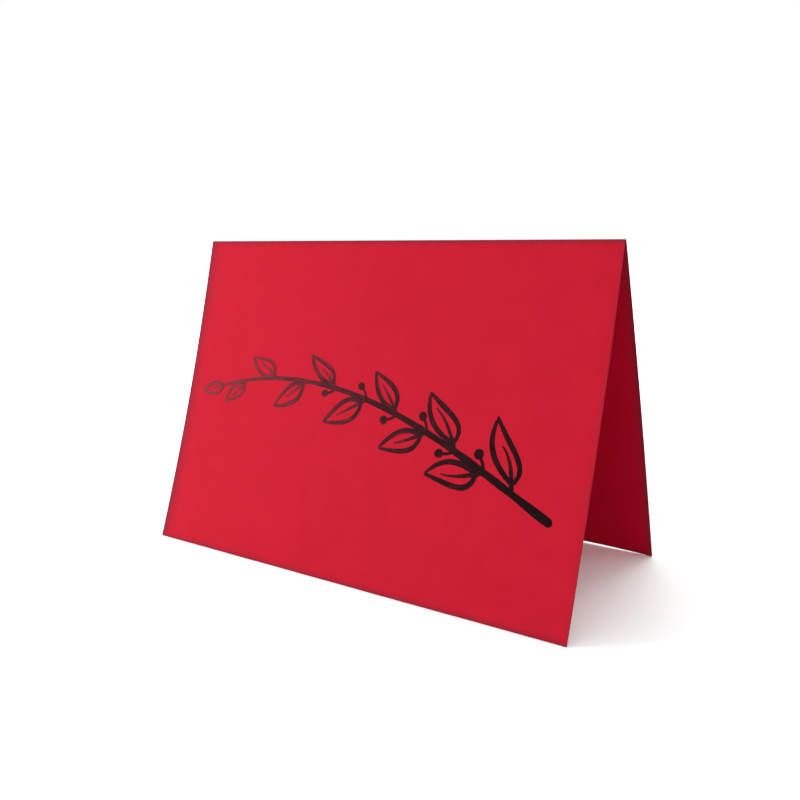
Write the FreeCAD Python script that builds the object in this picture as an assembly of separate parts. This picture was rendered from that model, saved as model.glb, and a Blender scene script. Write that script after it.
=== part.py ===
"""A greeting card: one sheet of stiff red card, scored and folded once, that stands open as a tent.

X runs along the fold, -Y is the front panel's side and +Z is up. The origin is on the table, midway between the two
long cut edges that the card stands on.
"""

import FreeCAD, Part
import math
import os

# Driving sizes, in millimetres
CARD_WIDTH = 150.0  # along the fold
PANEL_HEIGHT = 105.0  # crown of the fold to a cut edge, as measured on the closed card
STOCK_THICKNESS = 0.35  # coloured card of 300 grams a square metre
STAND_WIDTH = 67.2  # between the two edges that touch the table
FRONT_HOLLOW = 1.4  # the front panel sags this far into the tent at mid height
BACK_BULGE = 0.8  # the back panel bellies this far out of the tent at mid height
FOLD_INSIDE_RADIUS = 0.25  # of the inner face, where the sheet bends at the score
CROWN_FLATTENING = 0.05  # the folding bone presses the crown down by this much
BEAD_HEIGHT = 0.12  # the score's bead stands this far out of the bend, inside the fold

NODE = "folded_card"


def flat(y, z):
    """A point of the section, which lies in the plane of the card's left end."""
    return FreeCAD.Vector(-CARD_WIDTH / 2, y, z)


def towards(start, end, distance):
    """The point at that distance from start, in the direction of end."""
    return start + (end - start).normalize() * distance


def bow_radius(sagitta):
    """Radius of an arc that is PANEL_HEIGHT long from end to end and bowed by the sagitta."""
    return PANEL_HEIGHT**2 / (8 * sagitta) + sagitta / 2


def arc_centre(foot, foot_distance, bend, bend_distance):
    """The point at both distances that lies in front of the card: a panel's centre of curvature."""
    span = foot.distanceToPoint(bend)
    along = (foot_distance**2 - bend_distance**2 + span**2) / (2 * span)
    aside = math.sqrt(foot_distance**2 - along**2)
    up_panel = (bend - foot).normalize()
    to_front = FreeCAD.Vector(0, -up_panel.z, up_panel.y)
    return foot + up_panel * along + to_front * aside


def arc(start, end, centre):
    """The short arc from start to end about the centre."""
    middle = towards(centre, (start + end) / 2, centre.distanceToPoint(start))
    return Part.Arc(start, middle, end).toShape()


def card_section():
    """The sheet seen from its end: two bowed panels of even thickness that meet in the rounded, scored fold."""
    front_foot = flat(-STAND_WIDTH / 2, 0)
    back_foot = flat(STAND_WIDTH / 2, 0)
    crown_height = math.sqrt(PANEL_HEIGHT**2 - (STAND_WIDTH / 2) ** 2)
    bend_outside_radius = FOLD_INSIDE_RADIUS + STOCK_THICKNESS
    bend = flat(0, crown_height - bend_outside_radius)

    # The inner face of each panel runs from its foot into the bend without a corner. Both are curved about points
    # in front of the card, so the bend lies outside the front panel's circle and inside the back panel's.
    front_radius = bow_radius(FRONT_HOLLOW)
    front_centre = arc_centre(front_foot, front_radius, bend, front_radius + FOLD_INSIDE_RADIUS)
    back_radius = bow_radius(BACK_BULGE)
    back_centre = arc_centre(back_foot, back_radius, bend, back_radius - FOLD_INSIDE_RADIUS)
    behind_bend = bend * 2 - back_centre

    front_foot_outside = towards(front_foot, front_centre, STOCK_THICKNESS)
    back_foot_outside = towards(back_foot, back_centre, -STOCK_THICKNESS)
    front_bend_inside = towards(bend, front_centre, FOLD_INSIDE_RADIUS)
    front_bend_outside = towards(bend, front_centre, bend_outside_radius)
    back_bend_inside = towards(bend, behind_bend, FOLD_INSIDE_RADIUS)
    back_bend_outside = towards(bend, behind_bend, bend_outside_radius)
    crown = flat(0, crown_height - CROWN_FLATTENING)
    bead = (front_bend_inside + back_bend_inside) / 2 - FreeCAD.Vector(0, 0, BEAD_HEIGHT)

    outline = [
        arc(front_foot_outside, front_bend_outside, front_centre),
        Part.Arc(front_bend_outside, crown, back_bend_outside).toShape(),
        arc(back_bend_outside, back_foot_outside, back_centre),
        Part.makeLine(back_foot_outside, back_foot),
        arc(back_foot, back_bend_inside, back_centre),
        Part.Arc(back_bend_inside, bead, front_bend_inside).toShape(),
        arc(front_bend_inside, front_foot, front_centre),
        Part.makeLine(front_foot, front_foot_outside),
    ]
    return Part.Face(Part.Wire(outline))


def folded_card():
    """The section drawn out along the fold, with its two ends cut square."""
    return card_section().extrude(FreeCAD.Vector(CARD_WIDTH, 0, 0))


def main():
    os.makedirs("parts", exist_ok=True)
    card = folded_card()
    card.exportStep(f"parts/{NODE}.step")
    box = card.BoundBox
    print(f"{NODE}: {box.XLength:.2f} x {box.YLength:.2f} x {box.ZLength:.2f} mm, {card.Volume:.1f} mm3")


main()
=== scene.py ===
"""A greeting card of stiff red card, folded once and stood up as a tent, with a leafy sprig brushed on its
front in black ink."""

import math

import bpy
from mathutils import Matrix, Vector
from mathutils.geometry import interpolate_bezier
from mathutils.noise import noise


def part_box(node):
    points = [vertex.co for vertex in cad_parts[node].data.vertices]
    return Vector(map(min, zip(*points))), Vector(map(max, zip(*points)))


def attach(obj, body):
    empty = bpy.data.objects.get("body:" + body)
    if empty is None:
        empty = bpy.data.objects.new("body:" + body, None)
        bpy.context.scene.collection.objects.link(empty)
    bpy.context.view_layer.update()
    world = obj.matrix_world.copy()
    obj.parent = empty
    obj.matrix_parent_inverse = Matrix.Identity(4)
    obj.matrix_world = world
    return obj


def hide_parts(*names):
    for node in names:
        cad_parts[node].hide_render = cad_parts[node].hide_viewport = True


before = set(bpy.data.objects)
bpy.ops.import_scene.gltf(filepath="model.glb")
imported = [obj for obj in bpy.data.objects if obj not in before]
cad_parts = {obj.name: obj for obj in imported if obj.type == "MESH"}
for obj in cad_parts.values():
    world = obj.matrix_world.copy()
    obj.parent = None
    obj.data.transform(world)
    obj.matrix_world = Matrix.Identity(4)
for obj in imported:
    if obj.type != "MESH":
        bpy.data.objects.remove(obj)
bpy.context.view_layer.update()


# The sheet
# One piece of 300 gram card, coloured all the way through while it was still pulp. A guillotine cut it, a
# rule pressed a score across its middle, and it was folded once by hand, so both panels keep the slight bow
# that the hands gave them.
mm = 0.001
stock = 0.35 * mm
front_hollow = 1.4 * mm
back_bulge = 0.8 * mm
fold_inside_radius = 0.25 * mm
crown_flattening = 0.05 * mm
bead_height = 0.12 * mm
cut_arris = 0.04 * mm
sheet_cell = 1.5 * mm
fold_steps = 12
sole_depth = 0.01 * mm
sharp_corner = math.radians(60)
smooth_below = math.radians(40)

low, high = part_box("folded_card")
card_width = high.x - low.x
solid_points = [vertex.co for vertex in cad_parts["folded_card"].data.vertices]
sole = [point for point in solid_points if point.z < low.z + sole_depth]
front_foot = Vector((0, min(point.y for point in sole), low.z))
back_foot = Vector((0, max(point.y for point in sole), low.z))
crown = Vector((0, (front_foot.y + back_foot.y) / 2, high.z + crown_flattening))
panel_height = (crown - front_foot).length


def arc_centre(foot, foot_distance, bend, bend_distance):
    """The point at both distances that lies in front of the card, where a panel's curve has its centre."""
    span = (bend - foot).length
    along = (foot_distance**2 - bend_distance**2 + span**2) / (2 * span)
    up_panel = (bend - foot).normalized()
    to_front = Vector((0, -up_panel.z, up_panel.y))
    return foot + up_panel * along + to_front * math.sqrt(foot_distance**2 - along**2)


bend = crown - Vector((0, 0, fold_inside_radius + stock))
front_radius = panel_height**2 / (8 * front_hollow) + front_hollow / 2
back_radius = panel_height**2 / (8 * back_bulge) + back_bulge / 2
front_centre = arc_centre(front_foot, front_radius, bend, front_radius + fold_inside_radius)
back_centre = arc_centre(back_foot, back_radius, bend, back_radius - fold_inside_radius)
foot_of_middle = front_foot + (front_centre - front_foot).normalized() * stock / 2

# The sheet starts as a row of points along the front foot, in the middle of its thickness. Three turns about
# the three centres draw it up the hollow front panel, over the fold and down the bulging back panel.
bpy.ops.object.select_all(action="DESELECT")
bpy.ops.mesh.primitive_grid_add(x_subdivisions=round(card_width / sheet_cell), y_subdivisions=1, size=1)
card = bpy.context.object
card.name = "card_sheet"
card.data.name = "card_sheet"
card.scale = (card_width, sheet_cell, 1)
card.location = foot_of_middle - Vector((0, sheet_cell / 2, 0))
bpy.ops.object.transform_apply(location=True, rotation=True, scale=True)
bpy.ops.object.mode_set(mode="EDIT")
bpy.ops.mesh.select_all(action="DESELECT")
bpy.ops.object.mode_set(mode="OBJECT")
for point in card.data.vertices:
    point.select = point.co.y < foot_of_middle.y - sheet_cell / 2
bpy.ops.object.mode_set(mode="EDIT")
bpy.ops.mesh.delete(type="VERT")
bpy.ops.mesh.select_all(action="SELECT")

panel_steps = round(panel_height / sheet_cell)
up_front = (front_foot - front_centre).angle(bend - front_centre)
over_fold = (front_centre - bend).angle(bend - back_centre)
down_back = (bend - back_centre).angle(back_foot - back_centre)
along_fold = (1, 0, 0)
bpy.ops.mesh.spin(steps=panel_steps, angle=-up_front, center=front_centre, axis=along_fold)
bpy.ops.mesh.spin(steps=fold_steps, angle=over_fold, center=bend, axis=along_fold)
bpy.ops.mesh.spin(steps=panel_steps, angle=down_back, center=back_centre, axis=along_fold)
bpy.ops.object.mode_set(mode="OBJECT")

# The slots are empty until the materials are made, further down.
inside_slot, outside_slot, cut_edge_slot = range(3)
for _ in range(3):
    card.data.materials.append(None)
thickness = card.modifiers.new("thickness", "SOLIDIFY")
thickness.thickness = stock
thickness.offset = 0
thickness.use_even_offset = True
thickness.material_offset = outside_slot
thickness.material_offset_rim = cut_edge_slot
bpy.ops.object.modifier_apply(modifier=thickness.name)

# The folding bone pressed the crown a little flat. Inside the fold the score stands out as a bead. Both fade
# out where the panels begin.
fold_start = (front_centre - bend).normalized()
fold_end = (bend - back_centre).normalized()
for point in card.data.vertices:
    from_bend = Vector((0, point.co.y, point.co.z)) - bend
    if from_bend.length > fold_inside_radius + 1.5 * stock:
        continue
    share = fold_start.angle(from_bend) / over_fold
    if from_bend.length > fold_inside_radius + stock / 2:
        point.co.z -= crown_flattening * math.sin(math.pi * share)
    else:
        across_fold = bend + fold_start.lerp(fold_end, share) * fold_inside_radius
        point.co.y = across_fold.y
        point.co.z = across_fold.z - bead_height * 4 * share * (1 - share)

# The guillotine leaves a small arris all round.
arris = card.modifiers.new("arris", "BEVEL")
arris.width = cut_arris
arris.segments = 1
arris.limit_method = "ANGLE"
arris.angle_limit = sharp_corner
bpy.ops.object.modifier_apply(modifier=arris.name)

# No sheet is quite even. It waves by less than a tenth of a millimetre each way, and its back foot arches off
# the table between its two corners, so that a thread of light comes in under it.
wave_length = 45 * mm
wave_depth = 0.2 * mm
arch_height = 0.75 * mm
arch_reach = 30 * mm
arch_flatness = 6

waves = bpy.data.textures.new("sheet_waves", "CLOUDS")
waves.noise_scale = wave_length
waves.noise_depth = 1


def wave(piece):
    """Moves a piece with the sheet's waves, to the front or the back."""
    swell = piece.modifiers.new("waves", "DISPLACE")
    swell.texture = waves
    swell.texture_coords = "LOCAL"
    swell.direction = "Y"
    swell.mid_level = 0.5
    swell.strength = wave_depth
    bpy.context.view_layer.objects.active = piece
    bpy.ops.object.modifier_apply(modifier=swell.name)


wave(card)
for point in card.data.vertices:
    if point.co.y > crown.y and point.co.z < arch_reach:
        across = 1 - (2 * point.co.x / card_width) ** arch_flatness
        point.co.z += arch_height * across * (1 - point.co.z / arch_reach) ** 2


def linear(hex_colour):
    """The scene-linear red, green, blue and alpha of an sRGB hex colour."""
    channels = [int(hex_colour[start : start + 2], 16) / 255 for start in (1, 3, 5)]
    return [c / 12.92 if c <= 0.04045 else ((c + 0.055) / 1.055) ** 2.4 for c in channels] + [1.0]


def add_node(tree, kind, settings, inputs):
    """Adds a shader node with its options, and gives each input a value or a link from another node."""
    node = tree.nodes.new(kind)
    for name, value in settings.items():
        setattr(node, name, value)
    for name, value in inputs.items():
        if isinstance(value, bpy.types.NodeSocket):
            tree.links.new(value, node.inputs[name])
        else:
            node.inputs[name].default_value = value
    return node


# Real fibres are a few hundredths of a millimetre wide. They are drawn coarser than that, so that they show.
cloud_size = 9 * mm
fibre_size = 0.5 * mm
fibre_share = 0.35
# A darker red for the crown, the feet and both ends. It is dye worn by handling, and painted shade along the
# crease and where the feet meet the table.
rubbed_and_shaded_dye = "#8A2838"
rub_and_shade_reach = 2.4 * mm
left_rub_reach = 6 * mm
rub_and_shade_falloff = 1.8
rub_and_shade_strength = 1.7


def card_stock(name, pale, deep, tooth, end_reach, end_rub_and_shade):
    """Uncoated card. Its dye clouds a little with the density of the pulp, and its tooth is soft and matt.
    Along the crown, the feet and both ends it turns a darker red. This is dye rubbed dull by hands and the
    folding bone, and painted shade along the crease and where the feet meet the table."""
    material = bpy.data.materials.new(name)
    material.use_nodes = True
    tree = material.node_tree
    shader = tree.nodes["Principled BSDF"]
    place = add_node(tree, "ShaderNodeTexCoord", {}, {}).outputs["Object"]
    clouds = add_node(tree, "ShaderNodeTexNoise", {}, {"Vector": place, "Scale": 1 / cloud_size, "Detail": 4})
    fibres = add_node(
        tree,
        "ShaderNodeTexNoise",
        {},
        {"Vector": place, "Scale": 1 / fibre_size, "Detail": 3, "Roughness": 0.6, "Distortion": 1.2},
    )
    mixed = add_node(
        tree,
        "ShaderNodeMath",
        {"operation": "MULTIPLY_ADD"},
        {0: fibres.outputs["Fac"], 1: fibre_share, 2: clouds.outputs["Fac"]},
    )
    shades = add_node(
        tree,
        "ShaderNodeMapRange",
        {},
        {"Value": mixed.outputs[0], "From Min": 0.45, "From Max": 0.9},
    )
    dye = add_node(
        tree,
        "ShaderNodeMix",
        {"data_type": "RGBA"},
        {0: shades.outputs["Result"], 6: linear(deep), 7: linear(pale)},
    )
    axes = add_node(tree, "ShaderNodeSeparateXYZ", {}, {"Vector": place})
    from_middle = add_node(tree, "ShaderNodeMath", {"operation": "ABSOLUTE"}, {0: axes.outputs["X"]})
    # These bands darken the ends, the crown and the feet. They are wear, and painted shade at the crease and
    # along the feet.
    bands = (
        (from_middle.outputs[0], card_width / 2 - end_reach, card_width / 2, end_rub_and_shade),
        (axes.outputs["X"], left_rub_reach - card_width / 2, -card_width / 2, 1),
        (axes.outputs["Z"], high.z - rub_and_shade_reach, high.z, 1),
        (axes.outputs["Z"], rub_and_shade_reach, 0, 1),
    )
    rub_and_shade = 0
    for across, inner_side, edge, most in bands:
        band = add_node(
            tree,
            "ShaderNodeMapRange",
            {},
            {"Value": across, "From Min": inner_side, "From Max": edge, "To Max": most},
        )
        stronger = add_node(
            tree,
            "ShaderNodeMath",
            {"operation": "MAXIMUM"},
            {0: rub_and_shade, 1: band.outputs["Result"]},
        )
        rub_and_shade = stronger.outputs[0]
    close = add_node(tree, "ShaderNodeMath", {"operation": "POWER"}, {0: rub_and_shade, 1: rub_and_shade_falloff})
    on_fibres = add_node(
        tree,
        "ShaderNodeMath",
        {"operation": "MULTIPLY"},
        {0: close.outputs[0], 1: fibres.outputs["Fac"]},
    )
    worn_and_shaded = add_node(
        tree,
        "ShaderNodeMath",
        {"operation": "MULTIPLY", "use_clamp": True},
        {0: on_fibres.outputs[0], 1: rub_and_shade_strength},
    )
    colour = add_node(
        tree,
        "ShaderNodeMix",
        {"data_type": "RGBA"},
        {0: worn_and_shaded.outputs[0], 6: dye.outputs[2], 7: linear(rubbed_and_shaded_dye)},
    )
    bumps = add_node(
        tree,
        "ShaderNodeBump",
        {},
        {"Height": fibres.outputs["Fac"], "Distance": tooth, "Strength": 1.0},
    )
    tree.links.new(colour.outputs[2], shader.inputs["Base Color"])
    tree.links.new(bumps.outputs["Normal"], shader.inputs["Normal"])
    shader.inputs["Roughness"].default_value = 0.75
    shader.inputs["Specular IOR Level"].default_value = 0.05
    return material


# Paper has a smoother wire side and a softer felt side. The sheet was folded with the felt side out. The
# faces inside the fold get a deeper, purer red than the outside, and stronger dark bands at their ends. This
# is painted shade for the inside of the tent.
card.data.materials[inside_slot] = card_stock(
    "dyed_card_inside_painted_shade", pale="#D10B33", deep="#CB0A30", tooth=0.02 * mm, end_reach=3.5 * mm, end_rub_and_shade=1.0
)
card.data.materials[outside_slot] = card_stock(
    "dyed_card_felt_side", pale="#D21E35", deep="#CC1C32", tooth=0.03 * mm, end_reach=2.4 * mm, end_rub_and_shade=0.5
)
card.data.materials[cut_edge_slot] = card_stock(
    "dyed_card_cut_edge", pale="#B8182C", deep="#A01226", tooth=0.06 * mm, end_reach=2.4 * mm, end_rub_and_shade=0.5
)

bpy.ops.object.shade_smooth_by_angle(angle=smooth_below)
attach(card, "root")
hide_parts("folded_card")


# The sprig
# Black ink, drawn straight on the card with one brush pen: a stem, berries on thin stalks, and leaves that
# are each a rib and two edges. It starts low on the right with a bold, wet stem, and the brush runs dry
# towards the tip, where the red shows through.
stroke_rows = 6
stroke_cell = 0.3 * mm
fewest_steps = 8
ink_film = 0.03 * mm
ink_sinks = 0.01 * mm
ink_overlap = 0.002 * mm
outer_radius = front_radius - stock
foot_angle = math.atan2(front_foot.z - front_centre.z, front_foot.y - front_centre.y)


def on_front(along, height, lift):
    """A point a little off the front panel's outer face, so far along the card and so high up the panel."""
    turn = foot_angle + height / outer_radius
    reach = outer_radius - lift
    y = front_centre.y + reach * math.cos(turn)
    z = front_centre.z + reach * math.sin(turn)
    return Vector((along, y, z))


# A stroke's path, its widths and its unevenness are in millimetres. Each stroke reads the noise and the
# bristles' pattern in a place of its own, and lies a trace higher than the one before.
blunt_end = 0.03
pressure_change, pressure_length = 0.22, 9
raggedness, ragged_length = 0.1, 0.8
pattern_step = 5 * mm
strokes = []


def brush_stroke(path, widths, wetness):
    """One touch of the brush along a curve on the panel. It has a width at its start, middle and end, and a
    wetness at its start and end."""
    rough_length = sum((Vector(b) - Vector(a)).length for a, b in zip(path, path[1:]))
    steps = max(round(rough_length * mm / stroke_cell), fewest_steps)
    bpy.ops.object.select_all(action="DESELECT")
    bpy.ops.mesh.primitive_grid_add(x_subdivisions=steps, y_subdivisions=stroke_rows, size=1)
    piece = bpy.context.object
    seed = len(strokes)
    lift = ink_film - ink_sinks + seed * ink_overlap
    line = interpolate_bezier(*[Vector((*point, 0)) for point in path], steps + 1)
    ink = piece.data.attributes.new("ink_load", "FLOAT", "POINT")
    walked = 0
    marks = []
    for step, middle in enumerate(line):
        before, after = line[max(step - 1, 0)], line[min(step + 1, steps)]
        walked += (middle - before).length
        ahead = (after - before).normalized()
        marks.append((middle, Vector((-ahead.y, ahead.x, 0)), walked))
    for point in piece.data.vertices:
        step = round((point.co.x + 0.5) * steps)
        side = 2 * point.co.y
        middle, aside, gone = marks[step]
        share = gone / walked
        width = widths[0] * (1 - share) ** 2 + widths[1] * 2 * share * (1 - share) + widths[2] * share**2
        from_end = min(1, (min(gone, walked - gone) + blunt_end) / (width / 2))
        round_end = math.sqrt(1 - (1 - from_end) ** 2)
        pressure = 1 + pressure_change * noise(Vector((gone / pressure_length, seed * 3.1, 0)))
        ragged = 1 + raggedness * noise(Vector((gone / ragged_length, side * 2.0, seed * 7.3)))
        place = middle + aside * side * width / 2 * round_end * pressure * ragged
        ink.data[point.index].value = wetness[0] + (wetness[1] - wetness[0]) * share
        point.co = on_front(place.x * mm, place.y * mm, lift)
    stroke_map = piece.data.uv_layers[0]
    stroke_map.name = "along_stroke"
    for uv in stroke_map.uv:
        gone = marks[round(uv.vector.x * steps)][2]
        uv.vector = (gone * mm, (uv.vector.y - 0.5) * widths[0] * mm + seed * pattern_step)
    strokes.append(piece)


# The stem's four points are in millimetres from the card's middle and up from its foot. How far leaves and
# berries lean from the stem is in degrees, and the ink on the brush goes from wet, 1, to dry, 0.
stem = [(66, 29), (38, 42), (-8, 70), (-58, 55)]
stem_steps = 200
leaf_count = 10
first_leaf_at, last_leaf_at = 0.14, 0.94
longest_leaf, shortest_leaf, tip_leaf = 20, 13, 11
length_change = 0.14
widest_lean, closest_lean, lean_change = 52, 36, 8
berry_leaves = (1, 2, 3, 4, 5, 6)
berry_lean, berry_lean_change = 54, 12
longest_stalk, shortest_stalk = 4.6, 3.4
boldest, finest = 1.9, 1.2
wettest, driest = 1.0, 0.42
stem_widths = (boldest + 0.5, boldest - 0.2, finest)


def along_sprig(t, at_stem, at_tip):
    """A value that changes evenly from the stem's cut end to the sprig's tip."""
    return at_stem + (at_tip - at_stem) * t


def turned_by(way, degrees):
    """A direction on the panel, turned anticlockwise."""
    return Matrix.Rotation(math.radians(degrees), 3, "Z") @ way


def by_hand(kind, number):
    """A small unevenness of the hand, from about -1 to 1, that is the same in each run."""
    return noise(Vector((number * 1.7 + 0.4, kind * 5.3 + 0.7, 0.5))) * 1.6


def brush_by_share(path, shares, width, wetness, drying):
    """A touch of the brush whose widths are shares of the brush's width, and which dries on the way."""
    widths = [share * width for share in shares]
    brush_stroke([point.xy for point in path], widths, (wetness, wetness - drying))


# In a leaf's and a berry's paths, the numbers are shares of its length.
leaf_droop, droop_change = -8, 9
rib_length, rib_change = 0.7, 0.1
rib_widths, rib_drying = (0.8, 0.7, 0.3), 0.2
full_edge, flat_edge, edge_change = 0.3, 0.25, 0.05
edge_widths, edge_drying = (0.7, 1.35, 0.5), 0.1
stalk_bend = 14
stalk_widths = (0.6, 0.45, 0.6)
berry_widths = (1.5, 1.7, 1.4)


def draw_leaf(root, out, length, side, t, number):
    """A rib that starts at the stem, and two edges that part from it and meet again at the leaf's tip."""
    width = along_sprig(t, boldest, finest)
    wetness = along_sprig(t, wettest, driest)
    tip = root + turned_by(out, side * (leaf_droop + droop_change * by_hand(1, number))) * length
    neck = root + out * 0.12 * length
    aside = turned_by(out, 90)
    rib_end = root + (tip - root) * (rib_length + rib_change * by_hand(2, number))
    rib = [root, neck, root + out * 0.45 * length, rib_end]
    brush_by_share(rib, rib_widths, width, wetness, rib_drying)
    for edge, fullness in ((side, full_edge), (-side, flat_edge)):
        belly = (fullness + edge_change * by_hand(3 + edge, number)) * length
        path = [
            neck,
            neck + out * 0.22 * length + aside * edge * belly,
            tip - out * 0.4 * length + aside * edge * 0.75 * belly,
            tip + out * 0.04 * length * by_hand(6 + edge, number),
        ]
        brush_by_share(path, edge_widths, width, wetness, edge_drying)


def draw_berry(root, out, length, side, t):
    """A thin stalk, and one round touch of the brush at its end."""
    width = along_sprig(t, boldest, finest)
    wetness = along_sprig(t, wettest, driest)
    bent = turned_by(out, stalk_bend * side)
    stalk = [root, root + out * 0.4 * length, root + out * 0.7 * length, root + bent * length]
    brush_by_share(stalk, stalk_widths, width, wetness, 0)
    dot = [root + bent * (length + reach * width) for reach in (-0.3, 0.2, 0.8, 1.4)]
    brush_by_share(dot, berry_widths, width, wetness, 0)


stem_points = interpolate_bezier(*[Vector((*point, 0)) for point in stem], stem_steps + 1)


def on_stem(t):
    """A point of the stem, and the way that the stem runs there."""
    spot = round(t * stem_steps)
    return stem_points[spot], (stem_points[spot] - stem_points[spot - 1]).normalized()


brush_stroke(stem, stem_widths, (wettest, driest))
for leaf in range(leaf_count):
    t = along_sprig(leaf / (leaf_count - 1), first_leaf_at, last_leaf_at)
    root, ahead = on_stem(t)
    side = 1 if leaf % 2 else -1
    lean = side * (along_sprig(t, widest_lean, closest_lean) + lean_change * by_hand(8, leaf))
    length = along_sprig(t, longest_leaf, shortest_leaf) * (1 + length_change * by_hand(9, leaf))
    draw_leaf(root, turned_by(ahead, lean), length, side, t, leaf)
    if leaf in berry_leaves:
        lean = -side * (berry_lean + berry_lean_change * by_hand(10, leaf))
        draw_berry(root, turned_by(ahead, lean), along_sprig(t, longest_stalk, shortest_stalk), side, t)
draw_leaf(*on_stem(1), length=tip_leaf, side=1, t=1, number=leaf_count)

bpy.ops.object.select_all(action="DESELECT")
for piece in strokes:
    piece.select_set(True)
bpy.context.view_layer.objects.active = strokes[0]
bpy.ops.object.join()
sprig = bpy.context.object
sprig.name = "ink_sprig"
sprig.data.name = "ink_sprig"
wave(sprig)
film = sprig.modifiers.new("film", "SOLIDIFY")
film.thickness = ink_film
film.offset = -1
bpy.ops.object.modifier_apply(modifier=film.name)
bpy.ops.object.shade_smooth_by_angle(angle=smooth_below)

streak_length = 5 * mm
bristle_width = 0.35 * mm
thinnest_streak, thickest_streak = -0.22, 0.16
bare_card = "#C61B33"
coats = ((0.4, "#7E2A33"), (0.65, "#3F161C"), (0.9, "#170709"))


def brushed_ink():
    """Carbon ink on dyed card: brown where the red shows through a thin coat, satin black where it is thick.
    The bristles leave streaks along the stroke, and the card's tooth breaks them up."""
    material = bpy.data.materials.new("brushed_carbon_ink")
    material.use_nodes = True
    tree = material.node_tree
    shader = tree.nodes["Principled BSDF"]
    along = add_node(tree, "ShaderNodeUVMap", {"uv_map": "along_stroke"}, {}).outputs["UV"]
    load = add_node(tree, "ShaderNodeAttribute", {"attribute_name": "ink_load"}, {}).outputs["Fac"]
    stretched = add_node(
        tree,
        "ShaderNodeMapping",
        {},
        {"Vector": along, "Scale": (1 / streak_length, 1 / bristle_width, 1)},
    )
    bristles = add_node(
        tree,
        "ShaderNodeTexNoise",
        {},
        {"Vector": stretched.outputs["Vector"], "Scale": 1.0, "Detail": 3},
    )
    place = add_node(tree, "ShaderNodeTexCoord", {}, {}).outputs["Object"]
    tooth = add_node(tree, "ShaderNodeTexNoise", {}, {"Vector": place, "Scale": 1 / fibre_size, "Detail": 3})
    marks = add_node(
        tree,
        "ShaderNodeMath",
        {"operation": "MULTIPLY_ADD"},
        {0: tooth.outputs["Fac"], 1: 0.5, 2: bristles.outputs["Fac"]},
    )
    streaks = add_node(
        tree,
        "ShaderNodeMapRange",
        {},
        {
            "Value": marks.outputs[0],
            "From Min": 0.5,
            "From Max": 1.0,
            "To Min": thinnest_streak,
            "To Max": thickest_streak,
        },
    )
    density = add_node(
        tree,
        "ShaderNodeMath",
        {"operation": "ADD", "use_clamp": True},
        {0: load, 1: streaks.outputs["Result"]},
    )
    ramp = add_node(tree, "ShaderNodeValToRGB", {}, {"Fac": density.outputs[0]})
    stops = ramp.color_ramp.elements
    stops.remove(stops[1])
    stops[0].color = linear(bare_card)
    for coat, colour in coats:
        stops.new(coat).color = linear(colour)
    tree.links.new(ramp.outputs["Color"], shader.inputs["Base Color"])
    shader.inputs["Roughness"].default_value = 0.5
    shader.inputs["Specular IOR Level"].default_value = 0.04
    return material


sprig.data.materials.clear()
sprig.data.materials.append(brushed_ink())
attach(sprig, "root")


# The table
# A sweep of smooth, matt white paper under soft light, sized in metres. It stays outside the object. The
# camera sees it brighter than it is, so that it goes white round the card, and a little less so in red,
# because the card throws red light on it.
sweep_size = 6
paper_white = 0.92
seen_red, seen_green_and_blue = 1.48, 1.55
white_from, white_beyond = 0.16, 0.36

bpy.ops.mesh.primitive_plane_add(size=sweep_size, location=(0, 0, 0))
table = bpy.context.object
table.name = "white_sweep"


def seen_or_lit(tree, when_lit, when_seen):
    """A value for light that falls on things, and one for what the camera, a reflection or glass sees."""
    rays = add_node(tree, "ShaderNodeLightPath", {}, {}).outputs
    seen = rays["Is Camera Ray"]
    for other_ray in ("Is Glossy Ray", "Is Transmission Ray"):
        either = add_node(tree, "ShaderNodeMath", {"operation": "MAXIMUM"}, {0: seen, 1: rays[other_ray]})
        seen = either.outputs[0]
    both = add_node(
        tree,
        "ShaderNodeMapRange",
        {},
        {"Value": seen, "To Min": when_lit, "To Max": when_seen},
    )
    return both.outputs["Result"]


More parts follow.
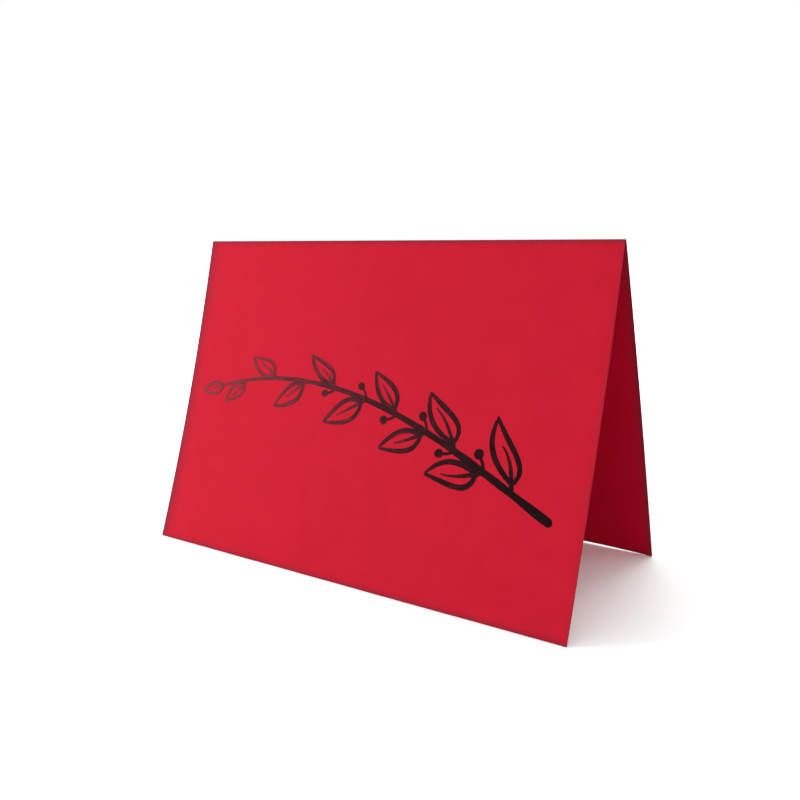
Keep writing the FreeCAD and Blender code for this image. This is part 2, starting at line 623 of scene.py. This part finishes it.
def white_sweep():
    """Matt white paper that keeps the card's shadow, and glows white for the camera beyond its reach."""
    material = bpy.data.materials.new("white_sweep_paper")
    material.use_nodes = True
    tree = material.node_tree
    tree.nodes.remove(tree.nodes["Principled BSDF"])
    red = seen_or_lit(tree, paper_white, seen_red)
    rest = seen_or_lit(tree, paper_white, seen_green_and_blue)
    tint = add_node(tree, "ShaderNodeCombineColor", {}, {"Red": red, "Green": rest, "Blue": rest})
    paper = add_node(tree, "ShaderNodeBsdfDiffuse", {}, {"Color": tint.outputs["Color"]})
    place = add_node(tree, "ShaderNodeTexCoord", {}, {}).outputs["Object"]
    from_card = add_node(tree, "ShaderNodeVectorMath", {"operation": "LENGTH"}, {0: place})
    beyond = add_node(
        tree,
        "ShaderNodeMapRange",
        {"interpolation_type": "SMOOTHSTEP"},
        {"Value": from_card.outputs["Value"], "From Min": white_from, "From Max": white_beyond},
    )
    glow = add_node(
        tree,
        "ShaderNodeMath",
        {"operation": "MULTIPLY"},
        {0: beyond.outputs["Result"], 1: seen_or_lit(tree, 0, 1)},
    )
    white = add_node(tree, "ShaderNodeEmission", {}, {"Strength": glow.outputs[0]})
    both = add_node(tree, "ShaderNodeAddShader", {}, {0: paper.outputs[0], 1: white.outputs[0]})
    tree.links.new(both.outputs[0], tree.nodes["Material Output"].inputs["Surface"])
    return material


table.data.materials.append(white_sweep())


# The light
# A white room all round, a soft lamp low on the left in front of the card, and one above it, a little behind.
# The lamps' places and sizes are in metres, and their power is in watts.
room_strength = 0.57
world = bpy.data.worlds.new("white_room")
bpy.context.scene.world = world
world.use_nodes = True
room = world.node_tree.nodes["Background"]
room.inputs["Color"].default_value = (1, 1, 1, 1)
world.node_tree.links.new(seen_or_lit(world.node_tree, room_strength, 1.0), room.inputs["Strength"])


def soft_lamp(name, place, size, power):
    """A square soft box that faces the middle of the card."""
    bpy.ops.object.light_add(type="AREA", location=place)
    lamp = bpy.context.object
    lamp.name = name
    lamp.data.size = size
    lamp.data.energy = power
    to_card = Vector((0, 0, high.z / 2)) - Vector(place)
    lamp.rotation_euler = to_card.to_track_quat("-Z", "Y").to_euler()


soft_lamp("left_lamp", place=(-0.597, -0.345, 0.172), size=0.3, power=3.2)
soft_lamp("top_lamp", place=(0, 0.35, 1.0), size=0.6, power=2.8)


# The camera
# It stands off the card's right front corner, a little above the fold, as the photograph was taken. It is
# turned to the left, tipped down and rolled a little, and its lens is in millimetres.
camera_place = Vector((150.5, -216.3, 106.4)) * mm
turned = math.radians(34.23)
tipped = math.radians(12.24)
rolled = math.radians(-1.36)
bpy.ops.object.camera_add(location=camera_place)
camera = bpy.context.object
camera.name = "camera"
aim = (
    Matrix.Rotation(turned, 4, "Z")
    @ Matrix.Rotation(math.pi / 2 - tipped, 4, "X")
    @ Matrix.Rotation(rolled, 4, "Z")
)
camera.rotation_euler = aim.to_euler()
camera.data.sensor_width = 36
camera.data.lens = 37.995
camera.data.clip_start = 0.01
bpy.context.scene.camera = camera
bpy.context.scene.view_settings.view_transform = "Standard"
